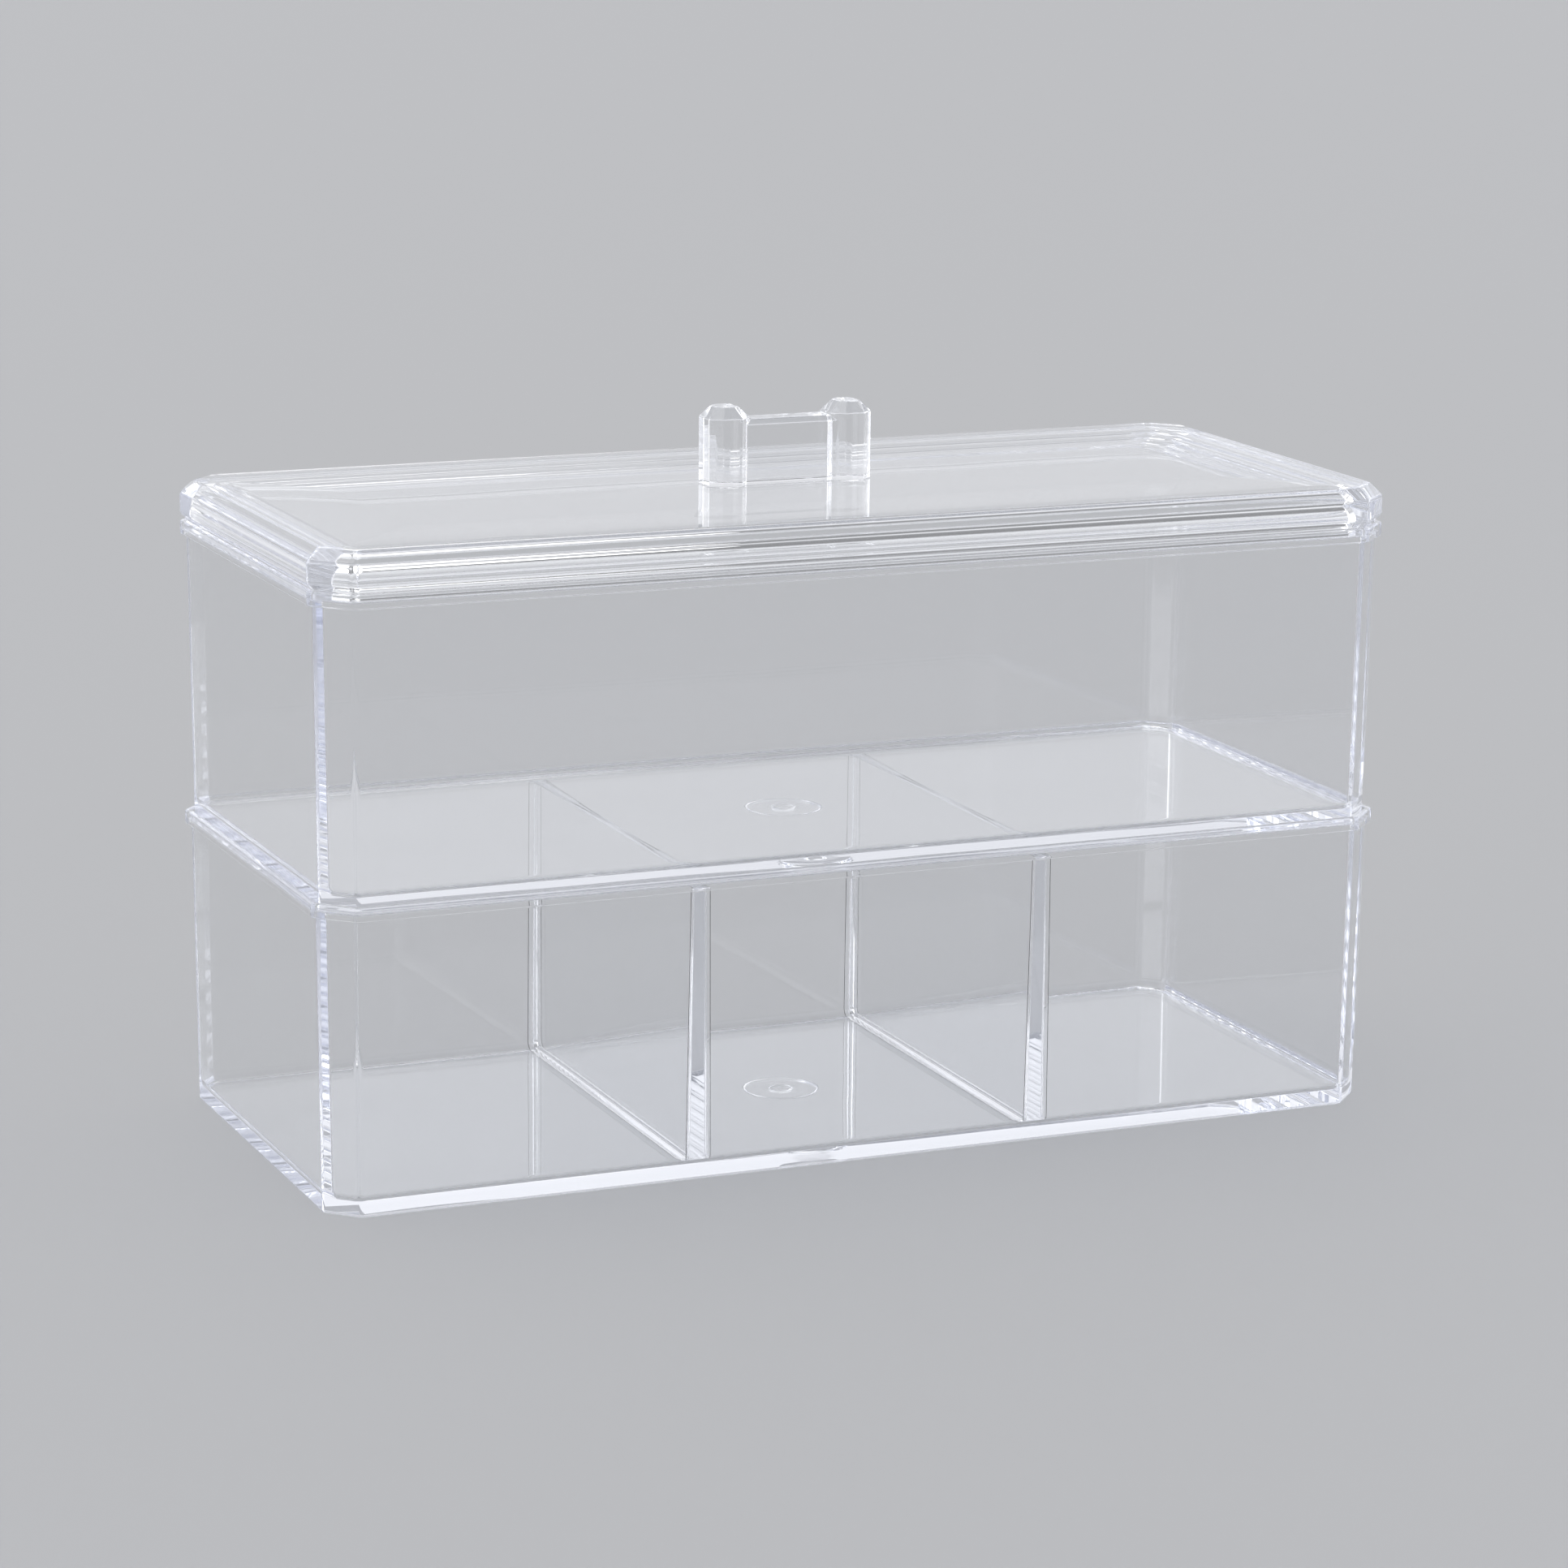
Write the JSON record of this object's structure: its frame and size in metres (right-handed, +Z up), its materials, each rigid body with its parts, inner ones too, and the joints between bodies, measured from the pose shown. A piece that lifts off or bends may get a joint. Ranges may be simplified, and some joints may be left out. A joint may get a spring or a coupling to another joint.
{
  "type": "storage box",
  "caption": "Clear stacking storage box: a divided lower tray, an open tray that nests in its rim, and a bevelled lift-off lid with a moulded grip.",
  "frame": {"origin": "middle of the lower tray's underside, on the surface that the box stands on", "axes": "+X along the long side, +Y from the front wall to the back wall, +Z up, the way the lid and the upper tray lift"},
  "size_m": [0.19, 0.082, 0.1209],
  "materials": {
    "clear_plastic": "clear, polished"
  },
  "bodies": {
    "lower_tier": {"lower_tray": "clear_plastic", "left_divider": "clear_plastic", "right_divider": "clear_plastic"},
    "upper_tier": {"upper_tray": "clear_plastic"},
    "cover": {"lid": "clear_plastic", "lid_handle": "clear_plastic"}
  },
  "joints": [
    {"name": "upper_tray_lift", "type": "slide", "parent": "lower_tier", "child": "upper_tier", "axis": [0, 0, 1], "range_m": [0, 0.06]},
    {"name": "lid_lift", "type": "slide", "parent": "upper_tier", "child": "cover", "axis": [0, 0, 1], "range_m": [0, 0.06]}
  ]
}
